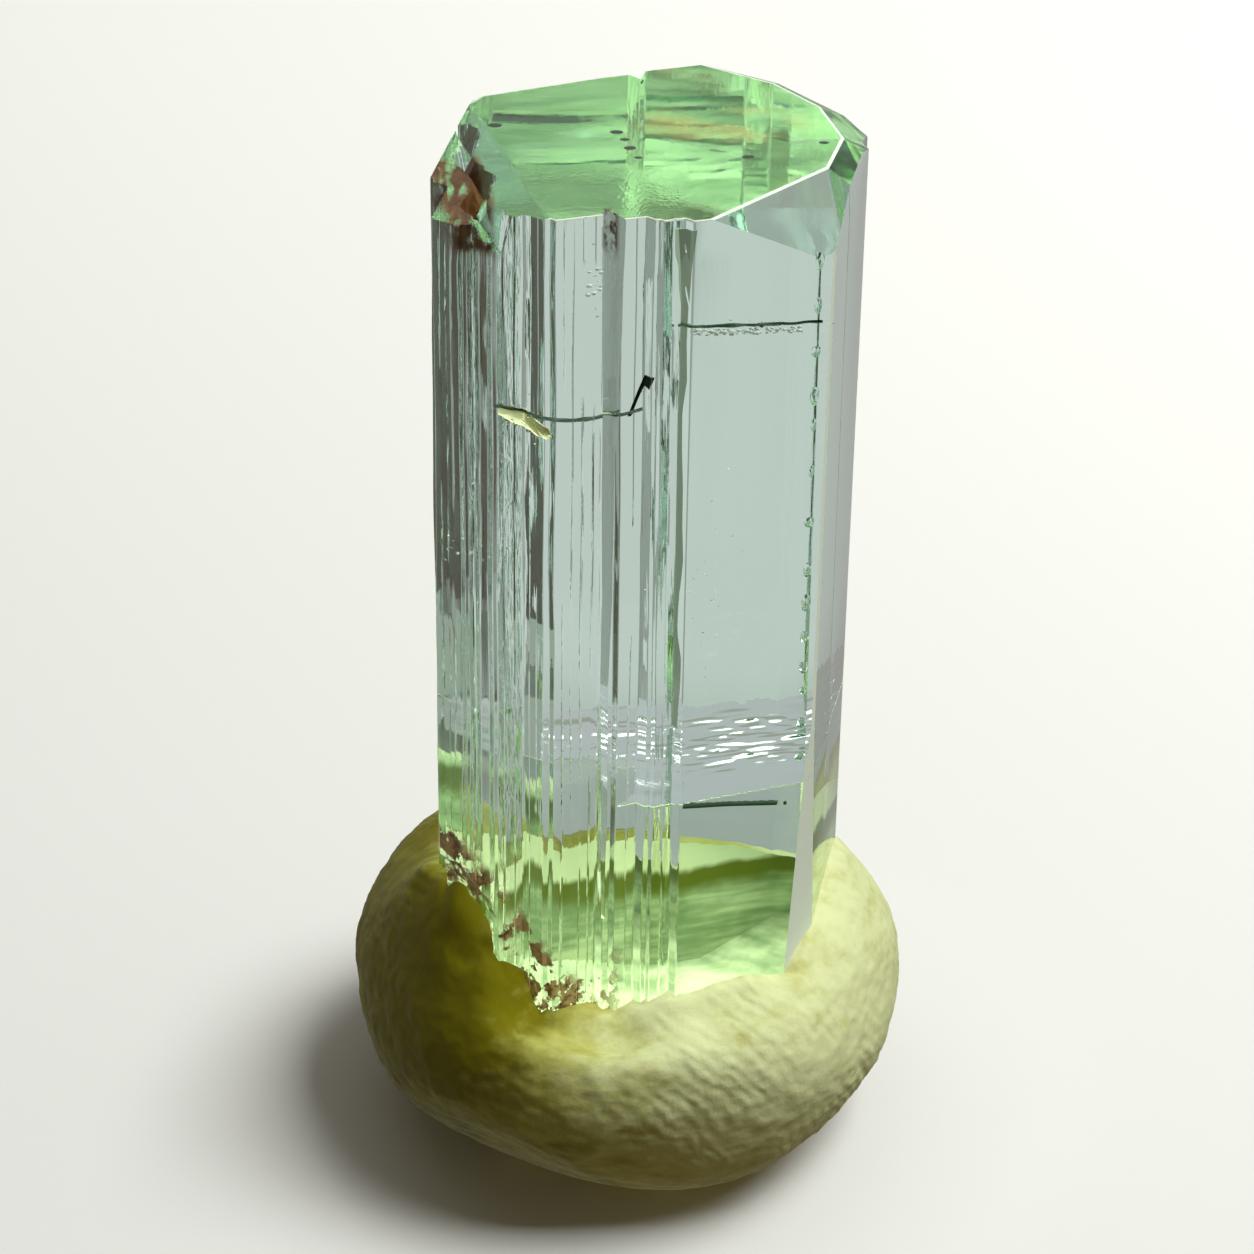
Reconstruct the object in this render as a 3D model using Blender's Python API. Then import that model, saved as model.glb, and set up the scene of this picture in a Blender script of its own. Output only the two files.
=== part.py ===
"""A rough aquamarine crystal that stands in a pinched lump of display putty.

Metres, +Z up, the crystal's broad polished-looking face towards -Y. The origin is the middle of the
footprint, on the flat underside of the putty. All the sizes below are in millimetres.
"""

import math
import random

import bmesh
import bpy
from mathutils import Matrix, Vector, noise

MM = 0.001

# The crystal. Beryl grows as a hexagonal prism, so every upright facet faces one of six ways.
# The angles are those of the outward normals seen from above, from +X, anticlockwise.
# G is a face of the second prism, which bevels one corner of the first.
FACES = {"A": -12, "B": -72, "C": -132, "D": 168, "E": 108, "F": 48, "G": 78}
# The outline, clockwise from above: each facet's kind and its distance from the crystal's axis.
# The long first facets are the smooth right front, and the short steps are the ribbed left front.
OUTLINE = [
    ("A", 7.62),
    ("B", 7.58),
    ("C", 4.66),
    ("B", 7.23),
    ("C", 5.52),
    ("B", 6.71),
    ("C", 6.49),
    ("B", 6.13),
    ("C", 8.24),
    ("B", 5.02),
    ("C", 9.30),
    ("B", 4.49),
    ("C", 9.85),
    ("D", 6.68),
    ("C", 7.68),
    ("D", 7.56),
    ("E", 5.85),
    ("D", 7.25),
    ("E", 6.40),
    ("F", 4.16),
    ("D", 1.74),
    ("E", 6.60),
    ("G", 8.73),
    ("F", 9.04),
    ("A", 7.2),
    ("F", 7.05),
]
# Growth ribs: these outline corners, counted from the first, are broken into a finer step.
RIBBED_CORNERS = {3: 0.16, 5: 0.22, 7: 0.2, 9: 0.17, 11: 0.15, 14: 0.18, 15: 0.16, 17: 0.2}
CRYSTAL_TOP = 43.3
CRYSTAL_FOOT = 5.4
CRYSTAL_LEAN_DEG = 0.8
LEAN_PIVOT_HEIGHT = 27.7
CRYSTAL_AXIS = (0.72, 0.2)

# Corner facets at the top end: azimuth and slope in degrees, then the distance from the axis
# at which the facet cuts the flat top.
TOP_FACETS = [
    (-42, 44, 6.4),
    (-14, 38, 6.8),
    (14, 38, 6.98),
    (36, 30, 7.12),
    (56, 24, 7.32),
    (78, 40, 7.8),
    (114, 30, 6.35),
    (150, 30, 7.7),
    (196, 11, 5.75),
    (188, 24, 7.85),
    (228, 40, 9.1),
]
# Narrow facets down the right front edge, and the lower right face, which leans inwards below:
# azimuth, tilt (upwards is positive) in degrees, then the distance from the axis at a height.
EDGE_FACETS = [
    (-42, 0.27, 8.645, 43.3),
    (-26, -2.3, 8.436, 23.5),
]
# The broken foot, hidden in the putty: azimuth, slope, and distance from the axis at the foot.
FOOT_BREAKS = [(-140, 35, 5.0), (-60, 22, 4.6), (40, 30, 5.4), (130, 26, 5.6)]

# The stained hollow where the top end meets the lowest rib, and the groove down the ribbed front.
HOLLOW_LINE = ((-7.35, 1.5), (-5.95, -7.5))
HOLLOW_WIDTH = 1.9
HOLLOW_DEPTH = 1.6
GROOVE_PLACE = (-1.6, -7.2)
GROOVE_WIDTH = 0.42
GROOVE_DEPTH = 0.75
GROOVE_BOTTOM = 13.0

# A shallow shell-shaped chip under the surface crack: centre, then radii across, deep and tall.
SHELL_CHIP = ((-4.75, -7.3, 34.55), (1.2, 0.42, 0.8))
# The broken lower left corner, which the putty's lip follows: centre and radii.
CORNER_BREAK = ((-8.28, -6.81, 12.0), (2.7, 2.0, 3.4))
# Small bruises along the back right edge, between the heights given.
EDGE_CHIPS = 9
EDGE_CHIP_PLACE = (8.55, 2.5)
EDGE_CHIP_HEIGHTS = (14.5, 38.0)
EDGE_CHIP_SIZE = (0.22, 0.5)

# The putty: a pinched ball with a flat underside and a socket for the crystal.
PUTTY_RADIUS = 11.6
PUTTY_HALF_HEIGHT = 7.4
PUTTY_CENTRE_HEIGHT = 5.8
SOCKET_GAP = 0.32
PUTTY_DETAIL = 5
# How far the putty's top is pinched up, or pressed down, beside the crystal: azimuth and amount.
LIP = [
    (-180, 0.1),
    (-160, 1.5),
    (-144, 2.5),
    (-131, 1.0),
    (-116, -2.2),
    (-96, -2.8),
    (-73, -1.8),
    (-48, -1.2),
    (-20, -0.5),
    (13, -0.1),
    (60, 0.1),
    (120, 0.3),
    (180, 0.1),
]
LIP_FADE = (8.4, 11.3)
# Finger marks: azimuth and height angle in degrees, half angle, and depth (negative swells).
FINGER_MARKS = [
    (-158, 4, 30, 0.35),
    (-122, -26, 28, 0.6),
    (-62, -34, 34, -0.45),
    (-20, 8, 30, 0.3),
    (38, 10, 34, 0.5),
    (96, 4, 36, 0.6),
    (150, 22, 30, -0.35),
    (-170, 40, 22, -0.4),
    (12, 44, 24, -0.3),
]
LUMP_AMPLITUDE = 0.22
LUMP_SPACING = 6.5


def clear_scene():
    """Remove whatever the scene starts with."""
    for obj in list(bpy.data.objects):
        bpy.data.objects.remove(obj, do_unlink=True)


def direction(azimuth_deg):
    """The level unit vector at an azimuth."""
    angle = math.radians(azimuth_deg)
    return Vector((math.cos(angle), math.sin(angle), 0))


def smoothstep(low, high, value):
    """0 below low, 1 above high, and a smooth rise between them."""
    share = min(1, max(0, (value - low) / (high - low)))
    return share * share * (3 - 2 * share)


def ribbed_outline():
    """The outline with its ribbed corners broken into a finer step."""
    facets = []
    for index, facet in enumerate(OUTLINE):
        facets.append(facet)
        step = RIBBED_CORNERS.get(index)
        if step:
            kind, distance = facet
            next_kind, next_distance = OUTLINE[(index + 1) % len(OUTLINE)]
            facets.append((next_kind, next_distance - step))
            facets.append((kind, distance - step))
    return facets


def outline_points(grow):
    """The outline's corners, with every facet moved outwards by grow."""
    lines = [(direction(FACES[kind]), distance + grow) for kind, distance in ribbed_outline()]
    points = []
    for (normal, distance), (next_normal, next_distance) in zip(lines, lines[1:] + lines[:1]):
        cross = normal.x * next_normal.y - normal.y * next_normal.x
        x = (distance * next_normal.y - next_distance * normal.y) / cross
        y = (next_distance * normal.x - distance * next_normal.x) / cross
        points.append((x, y))
    return points


def slice_off(solid, point, normal):
    """Cut away all that lies beyond a plane, and close the cut with flat faces."""
    everything = solid.verts[:] + solid.edges[:] + solid.faces[:]
    cut = bmesh.ops.bisect_plane(
        solid, geom=everything, dist=1e-6, plane_co=point, plane_no=normal, clear_outer=True
    )
    rim = [item for item in cut["geom_cut"] if isinstance(item, bmesh.types.BMEdge)]
    bmesh.ops.holes_fill(solid, edges=rim, sides=0)


def crystal_blank(grow):
    """The prism with its corner facets and its broken foot, in millimetres about its own axis."""
    solid = bmesh.new()
    foot, top = CRYSTAL_FOOT - grow, CRYSTAL_TOP + grow
    corners = [solid.verts.new((x, y, foot)) for x, y in outline_points(grow)]
    base = solid.faces.new(corners)
    raised = bmesh.ops.extrude_face_region(solid, geom=[base])
    moved = [item for item in raised["geom"] if isinstance(item, bmesh.types.BMVert)]
    bmesh.ops.translate(solid, verts=moved, vec=(0, 0, top - foot))
    bmesh.ops.recalc_face_normals(solid, faces=solid.faces[:])
    for azimuth, slope, reach in TOP_FACETS:
        tilt = math.radians(slope)
        normal = direction(azimuth) * math.sin(tilt) + Vector((0, 0, math.cos(tilt)))
        point = direction(azimuth) * reach + Vector((0, 0, CRYSTAL_TOP))
        slice_off(solid, point + normal * grow, normal)
    for azimuth, slope, reach in FOOT_BREAKS:
        tilt = math.radians(slope)
        normal = direction(azimuth) * math.sin(tilt) - Vector((0, 0, math.cos(tilt)))
        point = direction(azimuth) * reach + Vector((0, 0, CRYSTAL_FOOT))
        slice_off(solid, point + normal * grow, normal)
    for azimuth, tilt_deg, reach, height in EDGE_FACETS:
        tilt = math.radians(tilt_deg)
        normal = direction(azimuth) * math.cos(tilt) + Vector((0, 0, math.sin(tilt)))
        point = direction(azimuth) * reach + Vector((0, 0, height))
        slice_off(solid, point + normal * grow, normal)
    return solid


def crystal_place():
    """The crystal's place: leaning a little to the right about a point halfway up."""
    pivot = Vector((*CRYSTAL_AXIS, LEAN_PIVOT_HEIGHT)) * MM
    lean = Matrix.Rotation(math.radians(CRYSTAL_LEAN_DEG), 4, "Y")
    down = Matrix.Translation((0, 0, -LEAN_PIVOT_HEIGHT * MM))
    return Matrix.Translation(pivot) @ lean @ down


def make_object(name, solid, place=None):
    """Turn a bmesh in millimetres into an object in metres."""
    bmesh.ops.scale(solid, vec=(MM, MM, MM), verts=solid.verts[:])
    mesh = bpy.data.meshes.new(name)
    solid.to_mesh(mesh)
    solid.free()
    obj = bpy.data.objects.new(name, mesh)
    bpy.context.scene.collection.objects.link(obj)
    if place is not None:
        obj.matrix_world = place
    return obj


def add_cutter(target, cutter):
    """Subtract a helper object from a piece."""
    cutter.hide_render = True
    cutter.display_type = "WIRE"
    cut = target.modifiers.new(cutter.name, "BOOLEAN")
    cut.operation = "DIFFERENCE"
    cut.solver = "EXACT"
    cut.object = cutter


def hollow_cutter():
    """A jagged wedge with its edge down, for the stained hollow at the top left."""
    start, end = (Vector((x, y, 0)) for x, y in HOLLOW_LINE)
    along = (end - start).normalized()
    aside = Vector((-along.y, along.x, 0))
    stations = 7
    wedge = bmesh.new()
    rings = []
    for index in range(stations):
        share = index / (stations - 1)
        spine = start.lerp(end, share)
        jag = 1 + 0.18 * math.sin(index * 2.6)
        depth = HOLLOW_DEPTH * (0.7 + 0.3 * share) * jag
        half = HOLLOW_WIDTH / 2 * (0.8 + 0.4 * share)
        above = Vector((0, 0, CRYSTAL_TOP + 1))
        below = Vector((0, 0, CRYSTAL_TOP - depth)) + aside * half * 0.5 * math.sin(index * 1.9)
        ring = [spine + aside * half + above, spine - aside * half + above, spine + below]
        rings.append([wedge.verts.new(corner) for corner in ring])
    for ring, following in zip(rings, rings[1:]):
        for side in range(3):
            other = (side + 1) % 3
            wedge.faces.new((ring[side], ring[other], following[other], following[side]))
    wedge.faces.new(reversed(rings[0]))
    wedge.faces.new(rings[-1])
    bmesh.ops.recalc_face_normals(wedge, faces=wedge.faces[:])
    return make_object("hollow_cutter", wedge, crystal_place())


def groove_cutter():
    """A three-sided upright rod that leaves a sharp groove in the ribbed front."""
    outward = direction(FACES["B"])
    aside = Vector((-outward.y, outward.x, 0))
    place = Vector((*GROOVE_PLACE, 0))
    half = GROOVE_WIDTH / 2
    reach = GROOVE_DEPTH
    section = [place - outward * reach, place + outward + aside * half * 2.4, place + outward - aside * half * 2.4]
    rod = bmesh.new()
    base = rod.faces.new([rod.verts.new(corner + Vector((0, 0, GROOVE_BOTTOM))) for corner in section])
    raised = bmesh.ops.extrude_face_region(rod, geom=[base])
    moved = [item for item in raised["geom"] if isinstance(item, bmesh.types.BMVert)]
    bmesh.ops.translate(rod, verts=moved, vec=(0, 0, CRYSTAL_TOP + 1 - GROOVE_BOTTOM))
    bmesh.ops.recalc_face_normals(rod, faces=rod.faces[:])
    return make_object("groove_cutter", rod, crystal_place())


def break_cutter(name, grow):
    """The broken lower left corner, as a flattened ball that bites into it."""
    centre, radii = CORNER_BREAK
    ball = bmesh.new()
    turn = Matrix.Rotation(math.radians(FACES["C"] + 90), 4, "Z")
    sizes = [radius + grow for radius in radii]
    place = Matrix.Translation(centre) @ turn @ Matrix.Diagonal((*sizes, 1))
    bmesh.ops.create_icosphere(ball, subdivisions=2, radius=1, matrix=place)
    return make_object(name, ball, crystal_place())


def chip_cutter():
    """The shell-shaped chip and the row of small bruises, as one set of flattened balls."""
    dice = random.Random(7)
    chips = bmesh.new()
    (x, y, z), (across, deep, tall) = SHELL_CHIP
    turn = Matrix.Rotation(math.radians(FACES["B"] + 90), 4, "Z")
    place = Matrix.Translation((x, y, z)) @ turn @ Matrix.Diagonal((across, deep, tall, 1))
    bmesh.ops.create_icosphere(chips, subdivisions=2, radius=1, matrix=place)
    low, high = EDGE_CHIP_HEIGHTS
    for index in range(EDGE_CHIPS):
        height = low + (high - low) * (index + 0.5 * dice.random()) / EDGE_CHIPS
        small, large = EDGE_CHIP_SIZE
        size = Vector((small, small, dice.uniform(small, large)))
        spot = Vector((*EDGE_CHIP_PLACE, height))
        scale = Matrix.Diagonal((*size, 1))
        spin = Matrix.Rotation(dice.uniform(0, math.pi), 4, "Z")
        bmesh.ops.create_icosphere(
            chips, subdivisions=1, radius=1, matrix=Matrix.Translation(spot) @ spin @ scale
        )
    return make_object("chip_cutter", chips, crystal_place())


def surface(name, colour, roughness, transmission=0.0, ior=1.45):
    """A plain material."""
    material = bpy.data.materials.new(name)
    material.use_nodes = True
    shader = material.node_tree.nodes["Principled BSDF"]
    shader.inputs["Base Color"].default_value = (*colour, 1)
    shader.inputs["Roughness"].default_value = roughness
    shader.inputs["Metallic"].default_value = 0
    shader.inputs["Transmission Weight"].default_value = transmission
    shader.inputs["IOR"].default_value = ior
    material.diffuse_color = (*colour, 1)
    return material


def make_crystal():
    """The aquamarine: one faceted solid."""
    crystal = make_object("crystal", crystal_blank(0), crystal_place())
    for cutter in (hollow_cutter(), groove_cutter(), break_cutter("break_cutter", 0), chip_cutter()):
        add_cutter(crystal, cutter)
    crystal.data.materials.append(surface("clear_beryl", (0.72, 0.86, 0.8), 0.03, 1.0, 1.58))
    return crystal


def lump_point(out):
    """The putty's surface along a unit vector from its centre, in millimetres about that centre."""
    azimuth = math.degrees(math.atan2(out.y, out.x))
    depth = 0
    for mark_azimuth, mark_height, half_angle, mark_depth in FINGER_MARKS:
        level = math.radians(mark_height)
        centre = direction(mark_azimuth) * math.cos(level) + Vector((0, 0, math.sin(level)))
        depth += mark_depth * (1 - smoothstep(0, half_angle, math.degrees(centre.angle(out))))
    lumps = LUMP_AMPLITUDE * noise.noise(out * PUTTY_RADIUS / LUMP_SPACING)
    radius = PUTTY_RADIUS - depth + lumps
    height = radius - PUTTY_RADIUS + PUTTY_HALF_HEIGHT
    point = Vector((out.x * radius, out.y * radius, out.z * height))
    if point.z > 0:
        ring = math.hypot(point.x, point.y)
        point.z += lip_height(azimuth) * (1 - smoothstep(*LIP_FADE, ring)) * smoothstep(0, 4, point.z)
    point.z = max(point.z, -PUTTY_CENTRE_HEIGHT)
    return point


def lip_height(azimuth):
    """The pinch beside the crystal at an azimuth, smoothly between the listed ones."""
    for (low, before), (high, after) in zip(LIP, LIP[1:]):
        if azimuth <= high:
            return before + (after - before) * smoothstep(low, high, azimuth)
    return LIP[-1][1]


def make_putty():
    """The lump of putty, flat underneath, with the crystal's socket cut into it."""
    lump = bmesh.new()
    bmesh.ops.create_icosphere(lump, subdivisions=PUTTY_DETAIL, radius=1)
    for vertex in lump.verts:
        vertex.co = lump_point(vertex.co.normalized()) + Vector((0, 0, PUTTY_CENTRE_HEIGHT))
    putty = make_object("putty", lump)
    socket = make_object("socket_cutter", crystal_blank(SOCKET_GAP), crystal_place())
    add_cutter(socket, break_cutter("socket_break_cutter", -SOCKET_GAP))
    add_cutter(putty, socket)
    putty.data.shade_smooth()
    putty.data.materials.append(surface("putty", (0.46, 0.45, 0.18), 0.55))
    return putty


def centre_on_footprint(putty):
    """Move everything so that the putty's box, the widest thing here, is centred on the origin."""
    xs = [vertex.co.x for vertex in putty.data.vertices]
    ys = [vertex.co.y for vertex in putty.data.vertices]
    shift = Matrix.Translation((-(min(xs) + max(xs)) / 2, -(min(ys) + max(ys)) / 2, 0))
    for obj in bpy.data.objects:
        obj.matrix_world = shift @ obj.matrix_world


def main():
    clear_scene()
    make_crystal()
    putty = make_putty()
    bpy.context.view_layer.update()
    centre_on_footprint(putty)


main()
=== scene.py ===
"""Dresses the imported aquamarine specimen: its clear crystal, its putty, and a studio round them.

Laid out as an add-on and run as a script. Shapes are worked out in millimetres and made in metres.
"""

import math
import random

import bmesh
import bpy
import numpy as np
from mathutils import Euler, Matrix, Vector, noise


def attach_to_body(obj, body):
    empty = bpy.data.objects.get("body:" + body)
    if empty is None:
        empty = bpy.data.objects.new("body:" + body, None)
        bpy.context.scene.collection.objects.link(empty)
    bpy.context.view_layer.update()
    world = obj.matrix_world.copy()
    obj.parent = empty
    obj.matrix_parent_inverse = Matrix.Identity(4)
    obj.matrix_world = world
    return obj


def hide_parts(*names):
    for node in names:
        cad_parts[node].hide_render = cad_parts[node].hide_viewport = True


bl_info = {
    "name": "Aquamarine Specimen",
    "version": (1, 0, 0),
    "blender": (4, 5, 0),
    "location": "3D View > Sidebar > Specimen",
    "description": "A rough aquamarine crystal in display putty, with its studio",
    "category": "Object",
}

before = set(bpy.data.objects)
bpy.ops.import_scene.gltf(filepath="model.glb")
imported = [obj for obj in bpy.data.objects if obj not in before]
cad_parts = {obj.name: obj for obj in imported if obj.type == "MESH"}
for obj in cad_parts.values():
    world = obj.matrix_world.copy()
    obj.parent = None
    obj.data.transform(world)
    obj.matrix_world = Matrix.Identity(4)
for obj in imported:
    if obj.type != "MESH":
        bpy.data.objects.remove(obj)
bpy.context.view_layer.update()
MM = 0.001

# The crystal's own axis in the frame, and its lean to the right about a point on that axis.
CRYSTAL_AXIS = (0.7776, 0.3882)
CRYSTAL_TOP = 43.3
CRYSTAL_FOOT = 5.4
LEAN_DEG = 0.8
LEAN_PIVOT_HEIGHT = 27.7

# Beryl grows as a hexagonal prism, so an upright facet faces one of six ways, seen from above.
# G is a face of the second prism, which bevels one corner of the first.
FACES = {"A": -12, "B": -72, "C": -132, "D": 168, "E": 108, "F": 48, "G": 78}
# The outline, clockwise from above: each facet's kind and its distance from the crystal's axis.
OUTLINE = [
    ("A", 7.62), ("B", 7.58), ("C", 4.66), ("B", 7.23), ("C", 5.52), ("B", 6.71),
    ("C", 6.49), ("B", 6.13), ("C", 8.24), ("B", 5.02), ("C", 9.30), ("B", 4.49),
    ("C", 9.85), ("D", 6.68), ("C", 7.68), ("D", 7.56), ("E", 5.85), ("D", 7.25),
    ("E", 6.40), ("F", 4.16), ("D", 1.74), ("E", 6.60), ("G", 8.73), ("F", 9.04),
    ("A", 7.2), ("F", 7.05),
]
# Growth ribs: these outline corners, counted from the first, are broken into a finer step.
RIBBED_CORNERS = {3: 0.16, 5: 0.22, 7: 0.2, 9: 0.17, 11: 0.15, 14: 0.18, 15: 0.16, 17: 0.2}
# Facets of the top end: azimuth and slope, and the distance from the axis where each meets the top.
TOP_FACETS = [
    (-42, 44, 6.4), (-14, 38, 6.8), (14, 38, 6.98), (36, 30, 7.12),
    (56, 24, 7.32), (78, 40, 7.8), (114, 30, 6.35), (150, 30, 7.7),
    (196, 11, 5.75), (188, 24, 7.85), (228, 40, 9.1),
]
# The broken foot: azimuth and slope, and the distance from the axis where each meets the foot.
FOOT_BREAKS = [(-140, 35, 5.0), (-60, 22, 4.6), (40, 30, 5.4), (130, 26, 5.6)]
# Steep facets at the right front: azimuth, tilt, and the distance from the axis at a height.
# The first is clear, and the others are worn.
EDGE_FACETS = [(-42, 0.27, 8.53, 43.3), (-27, 0.13, 8.322, 43.3), (-26, -2.3, 8.436, 23.5)]
# The front is ribbed to the left of this.
RIBBED_FROM_X = 1.4
# Dark grains just under the top: place, then size.
DARK_DOTS = [
    (3.5, -1.3, 42.9, 0.24), (6.4, 0.5, 42.4, 0.2), (-6.0, 1.7, 42.5, 0.28),
    (-1.4, 0.9, 42.9, 0.26), (-1.1, 0.2, 42.9, 0.2), (-0.9, -0.6, 42.9, 0.24),
    (-0.6, -1.5, 42.9, 0.16),
]
# The crystal's material slots, and the plain materials of all but the first: name, colour,
# roughness, and the share of the light that passes.
CLEAR, DARK_FILL, WORN_AND_GLINT, CHIP_GLINT, SEAM = range(5)
FLAW_SURFACES = (
    # The dark fill is painted shade in the fracture mouths, and the colour of the dark grains and the
    # sliver.
    ("dark_fill", (0.016, 0.036, 0.018), 0.3, 0.0),
    # The worn material also paints glints on the bright crumbs.
    ("worn_edge_and_glint", (0.78, 0.88, 0.79), 0.5, 0.0),
    # The chip's pale colour is a painted glint.
    ("bruised_chip_glint", (0.85, 0.95, 0.58), 0.6, 0.0),
    ("green_seam", (0.3, 0.46, 0.31), 0.4, 0.4),
)

# Centres and radii of the broken lower left corner and of the chip under the arched fracture.
CORNER_BREAK = ((-8.28, -6.81, 12.0), (2.7, 2.0, 3.4))
SHELL_CHIP = ((-4.75, -7.3, 34.55), (1.2, 0.42, 0.8))
# Where rows of small chips run up: the back right edge and the right front edge.
EDGE_CHIP_PLACE = (8.55, 2.5)
STRIP_CHIP_PLACE = (6.06, -6.0)
HOLLOW_LINE = ((-7.35, 1.5, 0), (-5.95, -7.5, 0))
GROOVE_PLACE = (-1.6, -7.2)
GROOVE_BOTTOM = 13
# Thin fractures near the front drop by this slope behind the line y = -7.2.
CRACK_LINE_Y = -7.2
CRACK_SLOPE = 0.32
ACROSS_HEIGHT = 18.4
# Tiny flat voids: the centre and spread of each cluster, how many, and their least and most size.
SPECK_CLUSTERS = (
    ((2.2, -4.2, 27), (0.5, 1.2, 2.2), 46, (0.02, 0.06)),
    ((3.6, -5.9, 38.7), (1.5, 0.25, 0.1), 34, (0.03, 0.1)),
    ((-4.6, -6.6, 35.0), (0.5, 0.2, 0.4), 26, (0.04, 0.13)),
    ((-2.2, -6.6, 40.6), (0.22, 0.15, 0.8), 9, (0.04, 0.1)),
    ((-6.4, -4.5, 28.6), (0.6, 0.8, 0.1), 24, (0.04, 0.12)),
)
# Painted glints: bright crumbs behind the front, from and to x, the height, its slope, and how many.
GLINT_CRUMB_ROWS = ((1.4, 5.5, 38.94, 0.32, 90), (-2.5, -1.9, 41.4, 0, 12))

# The putty: a pinched ball, and the height of its lip round the crystal at azimuths.
PUTTY_PLACE = (0.0576, 0.1882)
PUTTY_RADIUS = 11.6
PUTTY_HALF_HEIGHT = 7.4
PUTTY_CENTRE_HEIGHT = 5.8
LIP = [
    (-180, 0.1), (-160, 1.5), (-144, 2.5), (-131, 1.0), (-116, -2.2), (-96, -2.8),
    (-73, -1.8), (-48, -1.2), (-20, -0.5), (13, -0.1), (60, 0.1), (120, 0.3),
    (180, 0.1),
]
LIP_FADE = (8.4, 11.3)
# Finger marks: azimuth and height angle in degrees, half angle, and depth (negative swells).
FINGER_MARKS = [
    (-158, 4, 30, 0.35), (-122, -26, 28, 0.6), (-62, -34, 34, -0.45),
    (-20, 8, 30, 0.3), (38, 10, 34, 0.5), (96, 4, 36, 0.6),
    (150, 22, 30, -0.35), (-170, 40, 22, -0.4), (12, 44, 24, -0.3),
]
LUMP_AMPLITUDE = 0.22
LUMP_SPACING = 6.5
# How far the putty reaches into the crystal's faces, so that no gap shows between the two.
SOCKET_OVERLAP = 0.04
# About how far apart a wave texture's bands are at scale 1.
WAVE_SPACING = 0.314

# The studio, in millimetres: the camera's target, the key light, the lamp in the foot, the ground.
CAMERA_TARGET = (-0.02, -3.11, 24.2)
KEY_PLACE = (371, 30, 594)
KEY_TARGET = (0, 0, 8)
KEY_SIZE = 400
PIPE_PLACE = (0.8, 0.4, 15)
PIPE_RADIUS = 5.5
PIPE_SPREAD_DEG = 95
GROUND_RADIUS = 1500
LIGHT_BOUNCES = 14


def colour_setting(name, description, default):
    """A colour for the panel."""
    return bpy.props.FloatVectorProperty(
        name=name, description=description, default=default, subtype="COLOR", min=0, max=1
    )


def length_setting(name, description, default):
    """A length for the panel, given in millimetres."""
    return bpy.props.FloatProperty(
        name=name, description=description, default=default * MM, subtype="DISTANCE"
    )


def power_setting(name, description, default):
    """A lamp's power for the panel."""
    return bpy.props.FloatProperty(name=name, description=description, default=default, unit="POWER")


class CrystalSettings(bpy.types.PropertyGroup):
    """What a user would change on the crystal."""

    refraction: bpy.props.FloatProperty(
        name="Index of refraction", description="Of beryl", default=1.58, min=1.3, max=2.5
    )
    tint: colour_setting(
        "Body colour", "The colour that the crystal takes on with depth", (0.15, 0.75, 0.45)
    )
    depth_density: bpy.props.FloatProperty(
        name="Depth of colour", description="Absorption per metre", default=20, min=0
    )
    edge_width: length_setting("Edge width", "Width of the worn edges", 0.09)
    stain: colour_setting("Stain", "Iron stain in the hollows", (0.06, 0.027, 0.006))


class PuttySettings(bpy.types.PropertyGroup):
    """What a user would change on the putty."""

    # Each putty colour is partly the putty's own tone and partly painted light: the light colour its lit
    # side, the dark colour its shaded side.
    lit_and_pale_colour: colour_setting("Light colour", "The rubbed tops", (0.62, 0.66, 0.36))
    shaded_and_dark_colour: colour_setting("Dark colour", "The pressed hollows", (0.15, 0.138, 0.003))
    # The pressed colour is paler than the lump's, partly for the pressed putty and partly as painted
    # light led down through the crystal.
    pressed_and_lit_colour: colour_setting("Pressed colour", "Against the crystal", (0.6, 0.66, 0.42))
    ridge_spacing: length_setting("Ridge spacing", "Between finger ridges", 0.48)
    ridge_depth: length_setting("Ridge depth", "Of the finger ridges", 0.04)


class StudioSettings(bpy.types.PropertyGroup):
    """What a user would change in the studio."""

    floor_colour: colour_setting("Ground", "Colour of the ground", (0.97, 0.97, 0.96))
    key_power: power_setting("Key light", "Power of the large light on the right", 5.5)
    pipe_power: power_setting("Foot light", "Power of the light inside the foot", 0.00115)
    elevation: bpy.props.FloatProperty(
        name="Camera height", description="Angle above level", default=math.radians(30), subtype="ANGLE"
    )
    distance: length_setting("Camera distance", "From the target", 150.6)
    focal_length: bpy.props.FloatProperty(
        name="Focal length", description="In mm on a 36 mm sensor", default=110.38, min=10
    )


class Wire:
    """A node's output, which takes part in Python expressions."""

    def __init__(self, graph, socket):
        self.graph = graph
        self.socket = socket

    def __add__(self, other):
        return self.graph.math("ADD", self, other)

    __radd__ = __add__

    def __sub__(self, other):
        return self.graph.math("SUBTRACT", self, other)

    def __rsub__(self, other):
        return self.graph.math("SUBTRACT", other, self)

    def __mul__(self, other):
        return self.graph.math("MULTIPLY", self, other)

    __rmul__ = __mul__

    def most(self, other):
        return self.graph.math("MAXIMUM", self, other)

    def rise(self, low, high):
        """0 below low, 1 above high, and a smooth rise between them; low may be the larger."""
        return self.graph.make(
            "ShaderNodeMapRange",
            {"interpolation_type": "SMOOTHSTEP"},
            {"Value": self, "From Min": low, "From Max": high},
        )

    def rise_mm(self, low, high):
        """The same rise between two places in millimetres."""
        return self.rise(low * MM, high * MM)


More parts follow.
